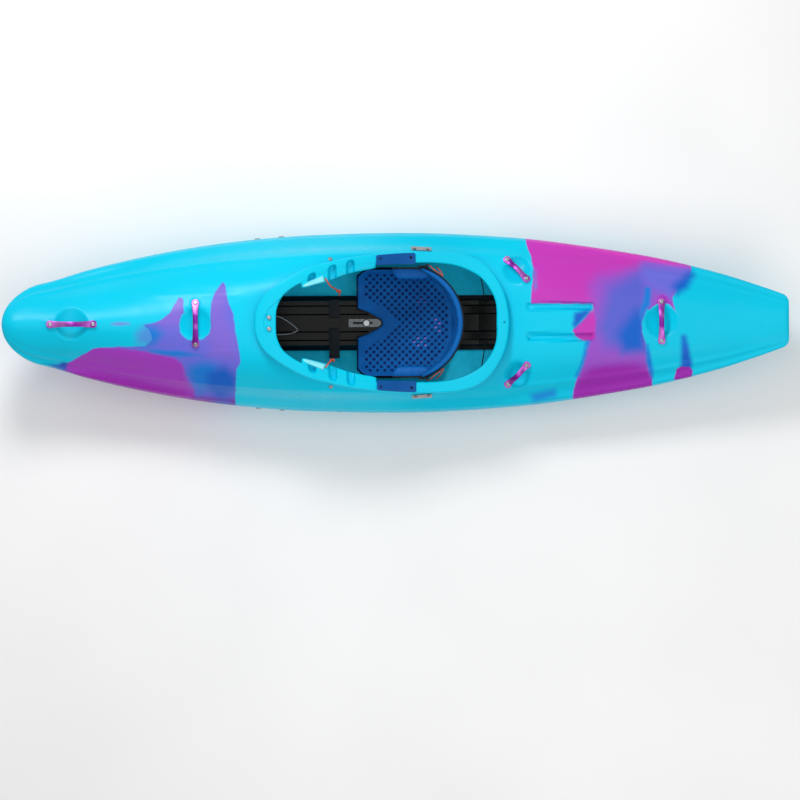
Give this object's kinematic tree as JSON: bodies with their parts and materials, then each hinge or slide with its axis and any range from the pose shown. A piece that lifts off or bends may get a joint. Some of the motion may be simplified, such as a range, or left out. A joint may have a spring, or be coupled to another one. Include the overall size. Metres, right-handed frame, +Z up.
{
  "type": "whitewater kayak",
  "caption": "Short whitewater kayak with a rockered rotomoulded hull, oval cockpit rim, grab handles, sliding padded seat with tilting backrest, thigh braces and sliding footrests.",
  "frame": {"origin": "on the ground under the middle of the hull's length and breadth, in the plane of the keel's flat", "axes": "+X towards the stern, +Y to starboard, +Z up"},
  "size_m": [2.76, 0.6298, 0.4371],
  "materials": {
    "hull": "semi-gloss rotomoulded polyethylene, blended cyan, magenta, violet and blue",
    "handle_metal": "purple anodised",
    "steel": "satin stainless",
    "black_plastic": "matte moulded plastic",
    "black_foam": "closed-cell foam",
    "blue_foam": "closed-cell foam with a skin",
    "light_blue_foam": "closed-cell foam",
    "blue_plastic": "satin plastic",
    "gloss_cleat": "gloss",
    "grey_metal": "matte",
    "orange_cord": "braided cord",
    "black_cord": "braided elastic cord",
    "grey_cord": "thin cord",
    "black_webbing": "woven webbing"
  },
  "bodies": {
    "hull": {"hull_shell": "hull", "centre_beam": "black_plastic", "front_pillar": "black_foam", "rear_pillar": "black_foam", "adjuster_bolt": "steel", "front_cord": "grey_cord", "cross_strap": "black_webbing", "strap_buckle": "black_plastic", "bow_handle": "handle_metal", "bow_handle_bolt_front": "steel", "bow_handle_bolt_rear": "steel", "foredeck_handle": "handle_metal", "foredeck_handle_bolt_starboard": "steel", "foredeck_handle_bolt_port": "steel", "rear_handle_starboard": "handle_metal", "rear_handle_starboard_bolt_front": "steel", "rear_handle_starboard_bolt_rear": "steel", "rear_handle_port": "handle_metal", "rear_handle_port_bolt_front": "steel", "rear_handle_port_bolt_rear": "steel", "stern_handle": "handle_metal", "stern_handle_bolt_starboard": "steel", "stern_handle_bolt_port": "steel", "footrest_bolt_starboard_front": "steel", "cover_screw_starboard_front": "steel", "footrest_bolt_starboard_rear": "steel", "cover_screw_starboard_rear": "steel", "footrest_rail_starboard": "grey_metal", "thigh_brace_starboard": "hull", "thigh_brace_bolt_starboard": "steel", "cover_plate_starboard": "blue_plastic", "cord_cleat_starboard": "gloss_cleat", "pull_cord_starboard": "orange_cord", "bungee_starboard": "black_cord", "hanger_plate_starboard": "steel", "rim_bolt_starboard": "steel", "footrest_bolt_port_front": "steel", "cover_screw_port_front": "steel", "footrest_bolt_port_rear": "steel", "cover_screw_port_rear": "steel", "footrest_rail_port": "grey_metal", "thigh_brace_port": "hull", "thigh_brace_bolt_port": "steel", "cover_plate_port": "blue_plastic", "cord_cleat_port": "gloss_cleat", "pull_cord_port": "orange_cord", "bungee_port": "black_cord", "hanger_plate_port": "steel", "rim_bolt_port": "steel"},
    "seat": {"seat_pan": "black_plastic", "seat_pad": "blue_foam", "adjuster_plate": "grey_metal", "hip_pad_starboard": "light_blue_foam", "hip_pad_port": "light_blue_foam"},
    "backrest": {"backrest_shell": "black_plastic", "backrest_pad": "blue_foam", "backrest_cord_starboard": "orange_cord", "backrest_cord_port": "orange_cord"},
    "footrest_starboard": {"footrest_starboard": "black_plastic"},
    "footrest_port": {"footrest_port": "black_plastic"}
  },
  "joints": [
    {"name": "seat_slide", "type": "slide", "parent": "hull", "child": "seat", "axis": [1, 0, 0], "range_m": [-0.015, 0.04]},
    {"name": "backrest_tilt", "type": "hinge", "parent": "seat", "child": "backrest", "pos_m": [0.096, 0, 0.2], "axis": [0, 1, 0], "range_deg": [-15, 12]},
    {"name": "footrest_slide_starboard", "type": "slide", "parent": "hull", "child": "footrest_starboard", "axis": [1, 0, 0], "range_m": [-0.07, 0.06]},
    {"name": "footrest_slide_port", "type": "slide", "parent": "hull", "child": "footrest_port", "axis": [1, 0, 0], "range_m": [-0.07, 0.06]}
  ]
}
